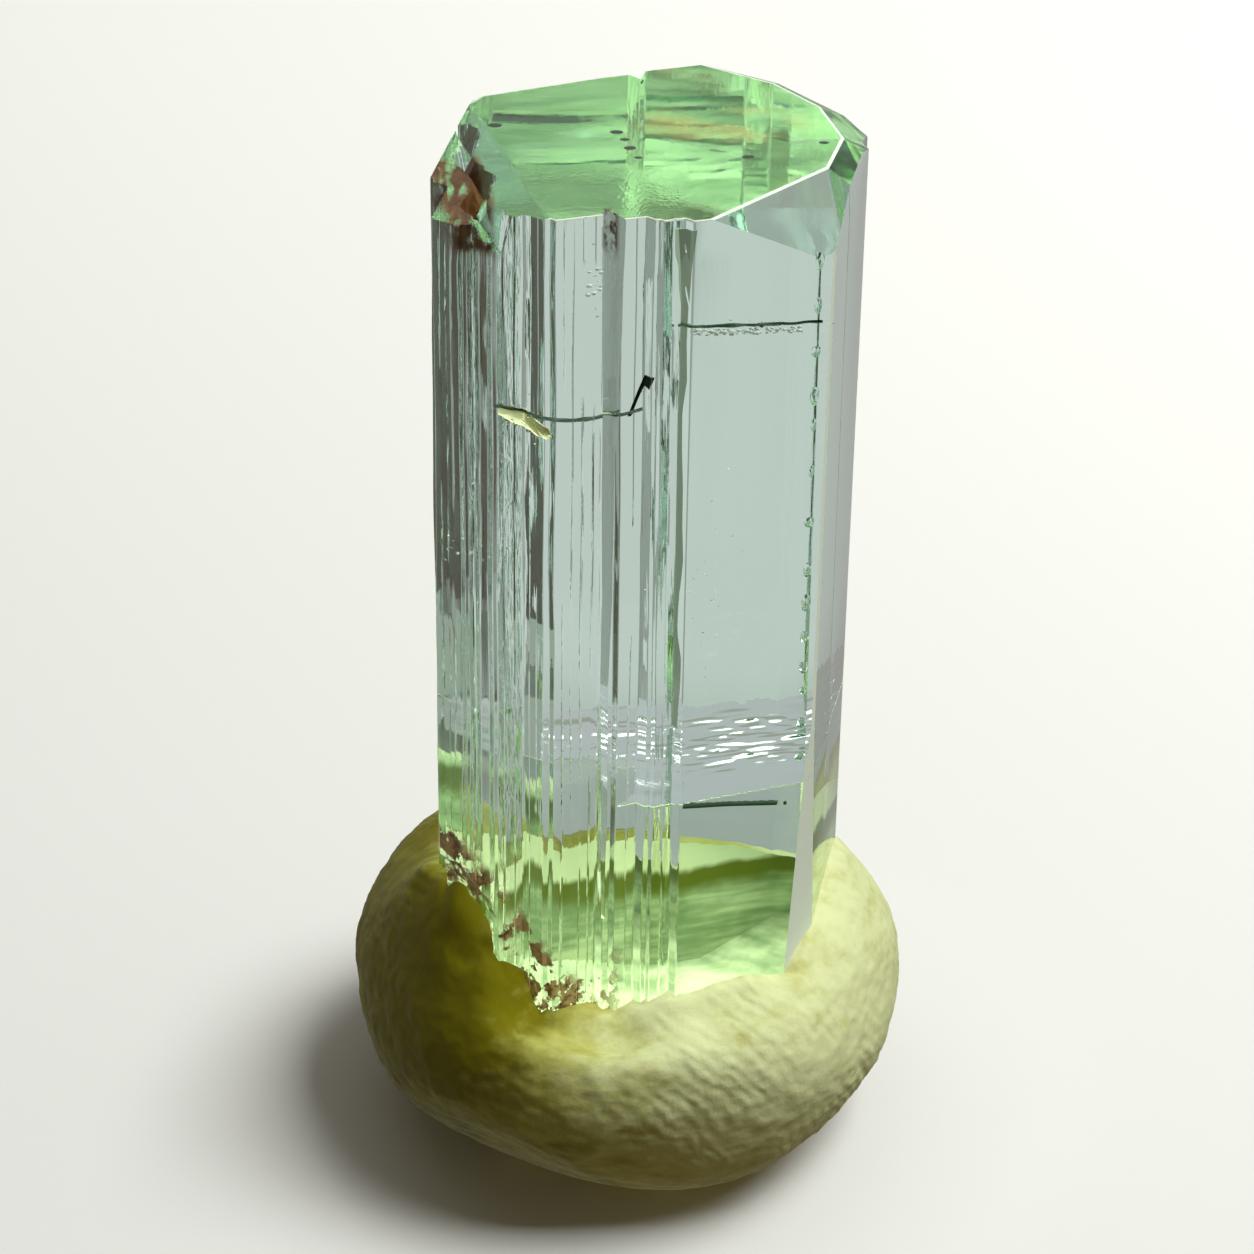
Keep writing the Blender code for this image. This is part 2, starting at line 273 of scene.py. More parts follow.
class Graph:
    """A node tree that is built from expressions."""

    def __init__(self, tree):
        tree.nodes.clear()
        self.tree = tree

    def make(self, kind, settings=None, sockets=None, output=0):
        """Add a node: its settings first, then the values or links of its sockets."""
        node = self.tree.nodes.new(kind)
        for name, value in (settings or {}).items():
            setattr(node, name, value)
        for name, value in (sockets or {}).items():
            if isinstance(value, Wire):
                self.tree.links.new(value.socket, node.inputs[name])
            else:
                node.inputs[name].default_value = value
        return Wire(self, node.outputs[output]) if node.outputs else node

    def math(self, operation, first, second=0.0):
        return self.make("ShaderNodeMath", {"operation": operation}, {0: first, 1: second})

    def principled(self, sockets):
        return self.make("ShaderNodeBsdfPrincipled", None, sockets)

    def bump(self, strength, distance, height):
        sockets = {"Strength": strength, "Distance": distance, "Height": height}
        return self.make("ShaderNodeBump", None, sockets)

    def mix_surfaces(self, share, first, second):
        return self.make("ShaderNodeMixShader", None, {0: share, 1: first, 2: second})

    def by_ray(self, seen, mirrored, scattered):
        """One surface to the camera, one in mirrors and refractions, and one that lights the rest."""
        diffuse = self.make("ShaderNodeLightPath", output="Is Diffuse Ray")
        direct = self.make("ShaderNodeLightPath", output="Is Camera Ray")
        return self.mix_surfaces(direct, self.mix_surfaces(diffuse, mirrored, scattered), seen)

    def finish(self, **sockets):
        """Add the material's output."""
        self.make("ShaderNodeOutputMaterial", None, sockets)

    def mix(self, share, first, second):
        """Blend two colours."""
        first, second = (v if isinstance(v, Wire) else (*v, 1) for v in (first, second))
        sockets = {0: share, 6: first, 7: second}
        return self.make("ShaderNodeMix", {"data_type": "RGBA"}, sockets, output=2)

    def place(self):
        """The point on the piece in metres, as a vector and its three parts."""
        point = self.make("ShaderNodeTexCoord", output="Object")
        return point, [
            self.make("ShaderNodeSeparateXYZ", None, {0: point}, output=axis) for axis in "XYZ"
        ]

    def noise(self, point, scale, detail=2.0, roughness=0.5, stretch=(1, 1, 1)):
        """Noise with features of about 1 / scale metres; stretch scales each axis as well."""
        mapped = self.make("ShaderNodeMapping", None, {"Vector": point, "Scale": stretch})
        sockets = {"Vector": mapped, "Scale": scale, "Detail": detail, "Roughness": roughness}
        return self.make("ShaderNodeTexNoise", None, sockets)


def new_material(name):
    """A material with an empty graph."""
    material = bpy.data.materials.new(name)
    material.use_nodes = True
    return material, Graph(material.node_tree)


def direction(azimuth_deg):
    """The level unit vector at an azimuth."""
    angle = math.radians(azimuth_deg)
    return Vector((math.cos(angle), math.sin(angle), 0))


def smoothstep(low, high, value):
    """0 below low, 1 above high, and a smooth rise between them."""
    share = min(1, max(0, (value - low) / (high - low)))
    return share * share * (3 - 2 * share)


def crystal_place():
    """Where the crystal's own frame stands."""
    pivot = Vector((*CRYSTAL_AXIS, LEAN_PIVOT_HEIGHT)) * MM
    lean = Matrix.Rotation(math.radians(LEAN_DEG), 4, "Y")
    return Matrix.Translation(pivot) @ lean @ Matrix.Translation((0, 0, -LEAN_PIVOT_HEIGHT * MM))


def set_down(solid, place):
    """Turn a bmesh from millimetres to metres, and move it to its place."""
    bmesh.ops.scale(solid, vec=(MM, MM, MM), verts=solid.verts[:])
    bmesh.ops.transform(solid, matrix=place, verts=solid.verts[:])


def finish_piece(name, solid, place=None):
    """Turn a bmesh in millimetres into an object in metres, with its place in its mesh."""
    set_down(solid, place or Matrix())
    mesh = bpy.data.meshes.new(name)
    solid.to_mesh(mesh)
    solid.free()
    obj = bpy.data.objects.new(name, mesh)
    bpy.context.scene.collection.objects.link(obj)
    return obj


def carve(target, cutters):
    """Subtract the cutters from a piece, keep the result as its mesh, and remove the cutters."""
    for cutter in cutters:
        cut = target.modifiers.new(cutter.name, "BOOLEAN")
        cut.operation = "DIFFERENCE"
        cut.solver = "EXACT"
        cut.object = cutter
    graph = bpy.context.evaluated_depsgraph_get()
    mesh = bpy.data.meshes.new_from_object(target.evaluated_get(graph))
    target.modifiers.clear()
    old = target.data
    target.data = mesh
    bpy.data.meshes.remove(old)
    for cutter in cutters:
        bpy.data.objects.remove(cutter, do_unlink=True)
    if not mesh.polygons:
        raise RuntimeError(f"{target.name}: the cut removed everything")


def ribbed_outline():
    """The outline with its ribbed corners broken into a finer step."""
    facets = []
    for index, (kind, distance) in enumerate(OUTLINE):
        facets.append((kind, distance))
        step = RIBBED_CORNERS.get(index)
        if step:
            next_kind, next_distance = OUTLINE[(index + 1) % len(OUTLINE)]
            facets.append((next_kind, next_distance - step))
            facets.append((kind, distance - step))
    return facets


def outline_points(grow):
    """The outline's corners, with every facet moved outwards by grow."""
    lines = [(direction(FACES[kind]), distance + grow) for kind, distance in ribbed_outline()]
    points = []
    for (normal, distance), (next_normal, next_distance) in zip(lines, lines[1:] + lines[:1]):
        cross = normal.x * next_normal.y - normal.y * next_normal.x
        x = (distance * next_normal.y - next_distance * normal.y) / cross
        y = (next_distance * normal.x - distance * next_normal.x) / cross
        points.append((x, y))
    return points


def grooves_along(index, start, end):
    """Where fine growth grooves cross an outline facet: their places, half widths and depths."""
    middle = (start + end) / 2
    length = (end - start).length
    ribbed = (middle.x < RIBBED_FROM_X and middle.y < -2) or middle.x < -6
    margin = 0.13
    usable = length - 2 * margin
    if not ribbed or usable < 0.2:
        return []
    dice = random.Random(index * 7 + 3)
    count = max(1, int(usable / 0.34))
    grooves = []
    for number in range(count):
        place = (margin + usable * (number + 0.5 + dice.uniform(-0.2, 0.2)) / count) / length
        grooves.append((place, dice.uniform(0.03, 0.065) / length, dice.uniform(0.02, 0.1)))
    return grooves


def worn_outline(inset, wear):
    """The outline with rounded corners and with grooves, moved inwards by inset.

    Each point comes with a vector into the crystal, as long as its groove is deep there.
    """
    corners = [Vector(point) for point in outline_points(-inset)]
    plain = [Vector(point) for point in outline_points(0)]
    worn = []
    for index, corner in enumerate(corners):
        following = corners[(index + 1) % len(corners)]
        before, after = corners[index - 1] - corner, following - corner
        reach = min(wear, 0.25 * before.length, 0.25 * after.length)
        start, end = corner + before.normalized() * reach, corner + after.normalized() * reach
        for share in (0, 1 / 3, 2 / 3, 1):
            rounded = start.lerp(corner, share).lerp(corner.lerp(end, share), share)
            worn.append((rounded, Vector()))
        inwards = Vector((after.y, -after.x, 0)).normalized()
        plain_end = plain[(index + 1) % len(plain)]
        for place, half, depth in grooves_along(index, plain[index], plain_end):
            worn.append((corner.lerp(following, place - half), Vector()))
            worn.append((corner.lerp(following, place), inwards * depth))
            worn.append((corner.lerp(following, place + half), Vector()))
    return worn


def slice_off(solid, point, normal, slot):
    """Cut away all that lies beyond a plane, and close the cut with faces of a material slot."""
    everything = solid.verts[:] + solid.edges[:] + solid.faces[:]
    cut = bmesh.ops.bisect_plane(
        solid, geom=everything, dist=1e-6, plane_co=point, plane_no=normal, clear_outer=True
    )
    rim = [item for item in cut["geom_cut"] if isinstance(item, bmesh.types.BMEdge)]
    for face in bmesh.ops.holes_fill(solid, edges=rim, sides=0)["faces"]:
        face.material_index = slot


def crystal_blank(grow, wear=0):
    """The prism with its top and edge facets and its broken foot, in millimetres about its axis."""
    solid = bmesh.new()
    foot, top = CRYSTAL_FOOT - grow, CRYSTAL_TOP + grow
    plain = [(Vector(point), Vector()) for point in outline_points(grow)]
    levels = [(foot, plain), (top, plain)]
    if wear:
        rim = 0.7 * wear
        levels = [(foot, worn_outline(0, wear)), (top - rim, worn_outline(0, wear))]
        levels += [(top - 0.3 * rim, worn_outline(0.3 * rim, wear)), (top, worn_outline(rim, wear))]
    groove = solid.verts.layers.float_vector.new("groove")
    rings = []
    for height, points in levels:
        rings.append([])
        for point, depth in points:
            vertex = solid.verts.new((point.x, point.y, height))
            vertex[groove] = depth
            rings[-1].append(vertex)
    solid.faces.new(rings[0])
    solid.faces.new(rings[-1])
    for ring, following in zip(rings, rings[1:]):
        for side, (first, above) in enumerate(zip(ring, following)):
            face = solid.faces.new((ring[side - 1], first, above, following[side - 1]))
            face.material_index = WORN_AND_GLINT if wear and ring is not rings[0] else CLEAR
    bmesh.ops.recalc_face_normals(solid, faces=solid.faces[:])
    planes = []
    for facets, height, up in ((TOP_FACETS, CRYSTAL_TOP, 1), (FOOT_BREAKS, CRYSTAL_FOOT, -1)):
        for azimuth, slope, reach in facets:
            tilt = math.radians(slope)
            normal = direction(azimuth) * math.sin(tilt) + Vector((0, 0, up * math.cos(tilt)))
            edge = direction(azimuth) * reach + Vector((0, 0, height))
            planes.append((edge, normal, CLEAR))
            if wear and up > 0:
                half = direction(azimuth) * math.sin(tilt / 2) + Vector((0, 0, math.cos(tilt / 2)))
                depth = 0.75 * wear * math.tan(tilt / 2)
                planes.append((edge - half * depth, half, WORN_AND_GLINT if slope > 20 else CLEAR))
    for azimuth, tilt_deg, reach, height in EDGE_FACETS:
        tilt = math.radians(tilt_deg)
        normal = direction(azimuth) * math.cos(tilt) + Vector((0, 0, math.sin(tilt)))
        worn = WORN_AND_GLINT if wear and azimuth > -40 else CLEAR
        planes.append((direction(azimuth) * reach + Vector((0, 0, height)), normal, worn))
    for point, normal, slot in planes:
        slice_off(solid, point + normal * grow, normal, slot)
    return solid


def roughen_ribs(solid):
    """Cut the growth grooves and let the ribs wander a little; the smooth faces stay flat."""
    height = 8.0
    while height < 42:
        everything = solid.verts[:] + solid.edges[:] + solid.faces[:]
        level = {"plane_co": (0, 0, height), "plane_no": (0, 0, 1)}
        bmesh.ops.bisect_plane(solid, geom=everything, dist=1e-6, **level)
        height += 0.6
    groove = solid.verts.layers.float_vector["groove"]
    for vertex in solid.verts:
        x, y, z = vertex.co
        ribbed = smoothstep(RIBBED_FROM_X, RIBBED_FROM_X - 0.6, x) if y < -2 else 0
        ribbed = max(ribbed, smoothstep(-6.0, -6.6, x))
        share = ribbed * smoothstep(41.9, 41.2, z) * smoothstep(5, 8, z)
        deep = 0.6 + 1.3 * noise.noise((x * 2.3, y * 2.3 + 5, z * 0.16))
        shift = Vector(vertex[groove]) * min(1.3, max(0, deep)) * smoothstep(5, 8, z)
        if share:
            sideways = noise.noise((x * 1.3, y * 1.3, z * 0.16))
            inwards = noise.noise((x * 1.3 + 40, y * 1.3, z * 0.16))
            wander = Vector((sideways, inwards, 0))
            fine = noise.noise((x * 3.1, y * 3.1 + 9, z * 0.4))
            shift += share * (0.06 * wander + 0.02 * fine * Vector((x, y, 0)).normalized())
        vertex.co += shift


def wedge_cutter(name, sections, slot=CLEAR):
    """A solid through successive three-cornered sections, with faces of a material slot."""
    wedge = bmesh.new()
    rings = [[wedge.verts.new(corner) for corner in section] for section in sections]
    for ring, following in zip(rings, rings[1:]):
        for side in range(3):
            other = (side + 1) % 3
            wedge.faces.new((ring[side], ring[other], following[other], following[side]))
    wedge.faces.new(reversed(rings[0]))
    wedge.faces.new(rings[-1])
    bmesh.ops.recalc_face_normals(wedge, faces=wedge.faces[:])
    for face in wedge.faces:
        face.material_index = slot
    return finish_piece(name, wedge, crystal_place())


def hollow_cutter():
    """The stained hollow at the top left: a ragged trough that deepens to the front."""
    start, end = (Vector(point) for point in HOLLOW_LINE)
    along = (end - start).normalized()
    aside = Vector((-along.y, along.x, 0))
    stations = 17
    sections = []
    for index in range(stations):
        share = index / (stations - 1)
        spine = start.lerp(end, share)
        jag = 1 + 0.22 * noise.noise((index * 0.9, 3.1, 0.4))
        depth = 1.6 * (0.7 + 0.3 * share) * jag
        half = 0.95 * (0.8 + 0.4 * share) * (1 + 0.35 * noise.noise((index * 1.3, 7.7, 0.4)))
        above = Vector((0, 0, CRYSTAL_TOP + 1))
        below = Vector((0, 0, CRYSTAL_TOP - depth)) + aside * half * 0.5 * math.sin(index * 0.9)
        sections.append((spine + aside * half + above, spine - aside * half + above, spine + below))
    return wedge_cutter("hollow_cutter", sections)


def front_directions():
    """The way out of the smooth front face, and the way to its right."""
    outward = direction(FACES["B"])
    return outward, Vector((-outward.y, outward.x, 0))


def groove_cutter():
    """The narrow upright groove in the ribbed front, which wanders and thins downwards."""
    outward, aside = front_directions()
    sections = []
    for index in range(16):
        share = index / 15
        height = CRYSTAL_TOP + 1 - share * (CRYSTAL_TOP + 1 - GROOVE_BOTTOM)
        half = 0.21 * (1.5 - 1.1 * share)
        reach = 0.75 - 0.45 * share
        sway = 0.07 * noise.noise((0.3, 5.2, height * 0.35))
        place = Vector((*GROOVE_PLACE, height)) + aside * sway
        mouth, wide = place + outward, aside * half * 2.4
        sections.append((place - outward * reach, mouth + wide, mouth - wide))
    return wedge_cutter("groove_cutter", sections)


def front_section(x, height, deep, half):
    """A three-cornered section that widens from a line just behind the front."""
    outward, aside = front_directions()
    place = Vector((x, front_at(x), height)) - outward * deep
    mouth = place + outward * 0.4
    return place, mouth + aside * half, mouth - aside * half


def seam_cutters():
    """The dark seam that flares at the top, and the dark sliver above the arched fracture."""
    seam = []
    for index in range(15):
        height = CRYSTAL_TOP - 0.4 - index * 1.5
        flare = smoothstep(40.4, 42.9, height)
        x = 1.05 + 0.04 * noise.noise((0.5, 2.2, height * 0.4)) - 0.18 * flare
        seam.append(front_section(x, height, 0.16, 2 * (0.085 + 0.2 * flare)))
    sliver = [
        front_section(-0.22 - 0.2 * index, 37.0 - 0.55 * index, 0.14, 0.24) for index in range(4)
    ]
    return [wedge_cutter("seam", seam, SEAM), wedge_cutter("sliver", sliver, DARK_FILL)]


def break_cutter(grow):
    """The broken lower left corner, as a flattened ball that bites into it."""
    centre, radii = CORNER_BREAK
    ball = bmesh.new()
    turn = Matrix.Rotation(math.radians(FACES["C"] + 90), 4, "Z")
    add_ball(ball, 5, centre, [radius + grow for radius in radii], turn)
    for vertex in ball.verts:
        vertex.co += vertex.normal * (0.22 * noise.fractal(vertex.co * 0.9, 1.0, 2.2, 4))
    return finish_piece("break_cutter", ball, crystal_place())


def front_at(x):
    """Where the outline's front lies, at a place from left to right."""
    points = outline_points(0)
    crossings = []
    for (x0, y0), (x1, y1) in zip(points, points[1:] + points[:1]):
        if min(x0, x1) <= x < max(x0, x1):
            crossings.append(y0 + (y1 - y0) * (x - x0) / (x1 - x0))
    return min(crossings)


def add_ball(solid, subdivisions, place, radii, turn=None):
    """Add a ball with its own radii to a bmesh, turned in its place."""
    matrix = Matrix.Translation(place) @ (turn or Matrix()) @ Matrix.Diagonal((*radii, 1))
    bmesh.ops.create_icosphere(solid, subdivisions=subdivisions, radius=1, matrix=matrix)


def add_edge_chips(chips, dice):
    """Small chips up the back right edge and up the right front edge."""
    count = 9
    for index in range(count):
        height = 14.5 + 23.5 * (index + 0.5 * dice.random()) / count
        radii = (0.22, 0.22, dice.uniform(0.22, 0.5))
        spin = Matrix.Rotation(dice.uniform(0, math.pi), 4, "Z")
        add_ball(chips, 2, (*EDGE_CHIP_PLACE, height), radii, spin)
    height = 19.5
    while height < 40.5:
        wide, tall = dice.uniform(0.1, 0.24), dice.uniform(0.12, 0.5)
        height += 1.3 * tall + 0.12
        add_ball(chips, 2, (*STRIP_CHIP_PLACE, height), (wide, wide, tall))
        height += 1.3 * tall + dice.uniform(0.1, 1.4)
    for vertex in chips.verts:
        vertex.co += vertex.normal * (0.05 * noise.noise(vertex.co * 4))


def chip_cutter():
    """The ragged chip under the arched fracture, with a pale colour that paints its glint, and the rows
    of small ones.
    """
    chips = bmesh.new()
    add_edge_chips(chips, random.Random(7))
    small = len(chips.faces)
    (cx, _, cz), (wide, deep, tall) = SHELL_CHIP
    for vertex in bmesh.ops.create_icosphere(chips, subdivisions=4, radius=1)["verts"]:
        along, inward, up = vertex.co
        x = cx + 0.1 + 0.85 * wide * along
        ragged = 0.16 * noise.noise((along * 2.6, up * 2.6, 1.1))
        height = cz + 0.42 - 0.42 * along + 0.45 * tall * up + ragged
        vertex.co = (x, front_at(x) + 0.55 * deep * inward, height)
    chips.faces.ensure_lookup_table()
    # The chip's faces take a pale colour that paints its glint.
    for face in chips.faces[small:]:
        face.material_index = CHIP_GLINT
    return finish_piece("chip_cutter", chips, crystal_place())


def fracture(name, centre, size, cells, shape, inside, thickness, dark_mouth=False):
    """A thin gap along a wavy sheet: shape bends it, and inside says which cells of it are open.

    Where one has a dark mouth, its faces near the front are a dark fill: painted shade in the crack's
    open mouth.
    """
    sheet = bmesh.new()
    bmesh.ops.create_grid(sheet, x_segments=cells[0], y_segments=cells[1], size=0.5)
    bmesh.ops.scale(sheet, vec=(*size, 1), verts=sheet.verts[:])
    bmesh.ops.translate(sheet, vec=centre, verts=sheet.verts[:])
    outside = [face for face in sheet.faces if not inside(face.calc_center_median())]
    bmesh.ops.delete(sheet, geom=outside, context="FACES")
    for vertex in sheet.verts:
        vertex.co = shape(vertex.co)
    raised = bmesh.ops.extrude_face_region(sheet, geom=sheet.faces[:])
    for item in raised["geom"]:
        if isinstance(item, bmesh.types.BMVert):
            item.co.z += thickness
    bmesh.ops.recalc_face_normals(sheet, faces=sheet.faces[:])
    for face in sheet.faces:
        middle = face.calc_center_median()
        # Painted shade: dark fill in the open mouth near the front.
        face.material_index = DARK_FILL if dark_mouth and middle.y < front_at(middle.x) + 0.9 else CLEAR
    return finish_piece(name, sheet, crystal_place())


def crack_drop(y, slope=CRACK_SLOPE):
    """How far a thin fracture has dropped at a depth behind the front."""
    return slope * (y - CRACK_LINE_Y)


def fracture_cutters():
    """The fractures that show as dark lines, mirrors and glints inside the crystal."""

    def front_reach(point):
        """How far a point lies towards the smooth front face."""
        return 0.309 * point.x - 0.951 * point.y

    def across_shape(point):
        rippled = smoothstep(-4.2, -1.6, point.y) * smoothstep(4.4, 3.0, point.y)
        lift = 0.05 * noise.noise((point.x * 0.4, point.y * 0.7, 1.7))
        rippled *= 0.4 + 0.6 * smoothstep(0, 2, point.x)
        lift += 0.055 * rippled * noise.noise((point.x * 1.1, point.y * 2.4, 4.1))
        return Vector((point.x, point.y, point.z + lift + 0.03 * (point.x - 1.0)))

    def across_inside(point):
        ragged = 0.8 * noise.noise((point.x * 0.9, point.y * 0.9, 2.2))
        left = -0.6 - 4.6 * smoothstep(-3.5, 0.5, point.y)
        inner = front_reach(point) < 7.3
        return inner and left + ragged < point.x < 9 and point.y < 5.6 + ragged

    def mouth_shape(point):
        return across_shape(point) - Vector((0, 0, 0.17 * (point.x - 1.0)))

    def mouth_inside(point):
        broken = noise.noise((point.x * 1.7, 3.3, 0.2)) > -0.25
        spans = -0.9 < point.x < -0.2 or 1.5 < point.x < 5.6
        return front_reach(point) > 7.25 and broken and spans

    def arc_shape(point):
        share = (point.x + 3.0) / 2.75
        drop = 0.5 * (1 - share * share)
        ripple = 0.05 * noise.noise((point.x * 1.8, point.y * 1.8, 6.6))
        return Vector((point.x, point.y, point.z - drop - crack_drop(point.y) + ripple))

    def arc_inside(point):
        ragged = 0.5 * noise.noise((point.x * 1.4, point.y * 1.4, 9.2))
        return abs(point.x + 3.0) < 2.7 and point.y < -6.1 + ragged

    def upper_shape(point):
        ripple = 0.06 * noise.noise((point.x * 1.6, point.y * 1.6, 3.3))
        return Vector((point.x, point.y, point.z - crack_drop(point.y) + ripple))

    def upper_inside(point):
        ragged = 0.7 * noise.noise((point.x * 1.2, point.y * 1.2, 5.2))
        return 0.9 < point.x < 6.2 and point.y < -5.6 + ragged

    return [
        fracture(
            "across", (1.5, -1, ACROSS_HEIGHT), (15, 14), (100, 90), across_shape, across_inside, 0.03
        ),
        fracture(
            "mouth", (1.5, -7, ACROSS_HEIGHT), (15, 2), (120, 20), mouth_shape, mouth_inside, 0.11, True
        ),
        fracture("arc", (-3, -6.8, 35.6), (6, 3), (70, 30), arc_shape, arc_inside, 0.13, True),
        fracture("upper", (3.5, -6.4, 39.0), (6.5, 3.4), (60, 34), upper_shape, upper_inside, 0.1, True),
    ]


def add_specks(obj):
    """Scatter tiny flat voids, bright crumbs that paint glints along two fractures, and dark grains
    under the top.
    """
    dice = random.Random(21)
    solid = bmesh.new()
    for centre, spread, count, (small, large) in SPECK_CLUSTERS:
        for _ in range(count):
            spot = Vector([dice.gauss(middle, width) for middle, width in zip(centre, spread)])
            size = dice.uniform(small, large)
            turn = Euler((dice.uniform(-0.5, 0.5), dice.uniform(-0.5, 0.5), dice.uniform(0, 3)))
            radii = (size, size * dice.uniform(0.4, 1), size * dice.uniform(0.15, 0.5))
            add_ball(solid, 1, spot, radii, turn.to_matrix().to_4x4())
    voids = len(solid.faces)
    for left, right, height, slope, count in GLINT_CRUMB_ROWS:
        for _ in range(count):
            x = dice.uniform(left, right)
            y = front_at(x) + dice.uniform(0.08, 0.4)
            z = height - crack_drop(y, slope) - dice.uniform(0.04, 0.26)
            if not slope:
                z -= dice.uniform(0, 1.2)
            size = dice.uniform(0.03, 0.085)
            add_ball(solid, 1, (x, y, z), (1.6 * size, 0.5 * size, size))
    glints_end = len(solid.faces)
    for x, y, z, size in DARK_DOTS:
        add_ball(solid, 2, (x, y, z), (size, 0.7 * size, 0.4 * size))
    solid.faces.ensure_lookup_table()
    # The crumbs take the pale worn material, as painted glints.
    for face in solid.faces[voids:glints_end]:
        face.material_index = WORN_AND_GLINT
    for face in solid.faces[glints_end:]:
        face.material_index = DARK_FILL
    bmesh.ops.reverse_faces(solid, faces=solid.faces[:])
    set_down(solid, crystal_place())
    solid.from_mesh(obj.data)
    solid.to_mesh(obj.data)
    solid.free()


def crystal_relief(graph, point, x, y):
    """Threads of growth on the ribs, and faint pits all over."""
    ribbed = x.rise_mm(2.4, 1.6) * y.rise_mm(-2, -3)
    ribbed = ribbed.most(x.rise_mm(-5, -6))
    streaks = graph.noise(point, 1, 3.0, 0.6, (3200, 3200, 160))
    threads = graph.noise(point, 1, 2.0, 0.5, (9000, 9000, 420))
    pits = graph.noise(point, 2200)
    return (streaks + 0.35 * threads) * (0.12 + 0.88 * ribbed) + 0.05 * pits


def stained_share(graph, point, x, y, z):
    """Where stain hides the clear crystal: in the hollow, at the foot, in the groove and on the top."""
    hollow = z.rise_mm(41.5, 42.0) * x.rise_mm(-4.6, -5.1) * y.rise_mm(-0.6, -1.2)
    across = x + 0.2 * y
    hollow = hollow * across.rise_mm(-5.6, -6.0) * across.rise_mm(-7.9, -7.5)
    slanted = graph.noise(point, 1, 2.0, 0.5, (1100, 160, 500))
    blotches = graph.noise(point, 1, 3.0, 0.6, (1500, 700, 900))
    share = hollow * (0.7 * slanted + 0.3 * blotches).rise(0.45, 0.52)
    crust = graph.noise(point, 1, 4.0, 0.65, (900, 900, 700))
    corner = (z + 1.42 * x).rise_mm(7.6, 6.6) * y.rise_mm(-3, -4) * x.rise_mm(0.4, -0.6)
    low_rim = z.rise_mm(13.0, 10.5) * y.rise_mm(-3.5, -5) * x.rise_mm(0.4, -1.4)
    share = share.most(corner * crust.rise(0.5, 0.55)).most(low_rim * crust.rise(0.56, 0.62))
    groove = x.rise_mm(-0.98, -0.8) * x.rise_mm(-0.25, -0.45)
    groove = groove * y.rise_mm(-6.0, -6.2) * z.rise_mm(41.4, 42.3)
    share = share.most(groove * blotches.rise(0.4, 0.5))
    veined = graph.noise(point, 1, 4.0, 0.6, (500, 900, 500))
    right, back = x - 3.8 * MM, y - 1.9 * MM
    patch = (right * right * 0.22 + back * back).rise((2.1 * MM) ** 2, (0.7 * MM) ** 2)
    return share.most(0.5 * (patch * z.rise_mm(43.15, 43.25) * veined.rise(0.4, 0.6)))


def stain_colour(graph, point, x, z, stain):
    """Brown in the hollow, sandy at the foot and yellow on the top."""
    brown = graph.noise(point, 2600, 2.0, 0.6)
    dark = graph.mix(brown.rise(0.35, 0.65), stain, (0.13, 0.06, 0.018))
    sandy = graph.mix(brown.rise(0.3, 0.6), (0.22, 0.11, 0.035), (0.72, 0.55, 0.3))
    colour = graph.mix(z.rise_mm(20, 19), dark, sandy)
    return graph.mix(z.rise_mm(43.1, 43.2) * x.rise_mm(0, 1), colour, (0.4, 0.38, 0.11))


def crystal_material(settings):
    """Clear beryl with a body colour, striations on its ribs, and iron stain in its hollows."""
    material, graph = new_material("clear_beryl")
    point, (x, y, z) = graph.place()
    glass = graph.principled(
        {
            "Base Color": (1, 1, 1, 1),
            "Roughness": 0.015,
            "IOR": settings.refraction,
            "Transmission Weight": 1.0,
            "Normal": graph.bump(0.35, 0.03 * MM, crystal_relief(graph, point, x, y)),
        }
    )
    colour = stain_colour(graph, point, x, z, settings.stain)
    stain = graph.principled({"Base Color": colour, "Roughness": 0.5, "IOR": 1.45})
    surface = graph.mix_surfaces(stained_share(graph, point, x, y, z), glass, stain)
    depth = {"Color": (*settings.tint, 1), "Density": settings.depth_density}
    volume = graph.make("ShaderNodeVolumeAbsorption", None, depth)
    graph.finish(Surface=surface, Volume=volume)
    return material


def lip_height(azimuth):
    """The pinch beside the crystal at an azimuth, smoothly between the listed ones."""
    for (low, before), (high, after) in zip(LIP, LIP[1:]):
        if azimuth <= high:
            return before + (after - before) * smoothstep(low, high, azimuth)
    return LIP[-1][1]


def lump_point(out):
    """The putty's surface along a unit vector from its centre, in millimetres about that centre."""
    azimuth = math.degrees(math.atan2(out.y, out.x))
    depth = 0
    for mark_azimuth, mark_height, half_angle, mark_depth in FINGER_MARKS:
        level = math.radians(mark_height)
        centre = direction(mark_azimuth) * math.cos(level) + Vector((0, 0, math.sin(level)))
        depth += mark_depth * (1 - smoothstep(0, half_angle, math.degrees(centre.angle(out))))
    lumps = LUMP_AMPLITUDE * noise.noise(out * PUTTY_RADIUS / LUMP_SPACING)
    radius = PUTTY_RADIUS - depth + lumps
    height = radius - PUTTY_RADIUS + PUTTY_HALF_HEIGHT
    point = Vector((out.x * radius, out.y * radius, out.z * height))
    if point.z > 0:
        ring = math.hypot(point.x, point.y)
        near = (1 - smoothstep(*LIP_FADE, ring)) * smoothstep(0, 4, point.z)
        point.z += lip_height(azimuth) * near
    point.z = max(point.z, -PUTTY_CENTRE_HEIGHT)
    return point


def outline_distance(points):
    """How far points in the crystal's own frame lie outside its outline, in millimetres."""
    corners = np.array(outline_points(0))
    ends = np.roll(corners, -1, axis=0)
    nearest = np.full(len(points), 1e9)
    flat = points[:, :2]
    for start, end in zip(corners, ends):
        along = end - start
        share = np.clip(((flat - start) @ along) / (along @ along), 0, 1)
        gap = np.linalg.norm(flat - (start + share[:, None] * along), axis=1)
        nearest = np.minimum(nearest, gap)
    return nearest


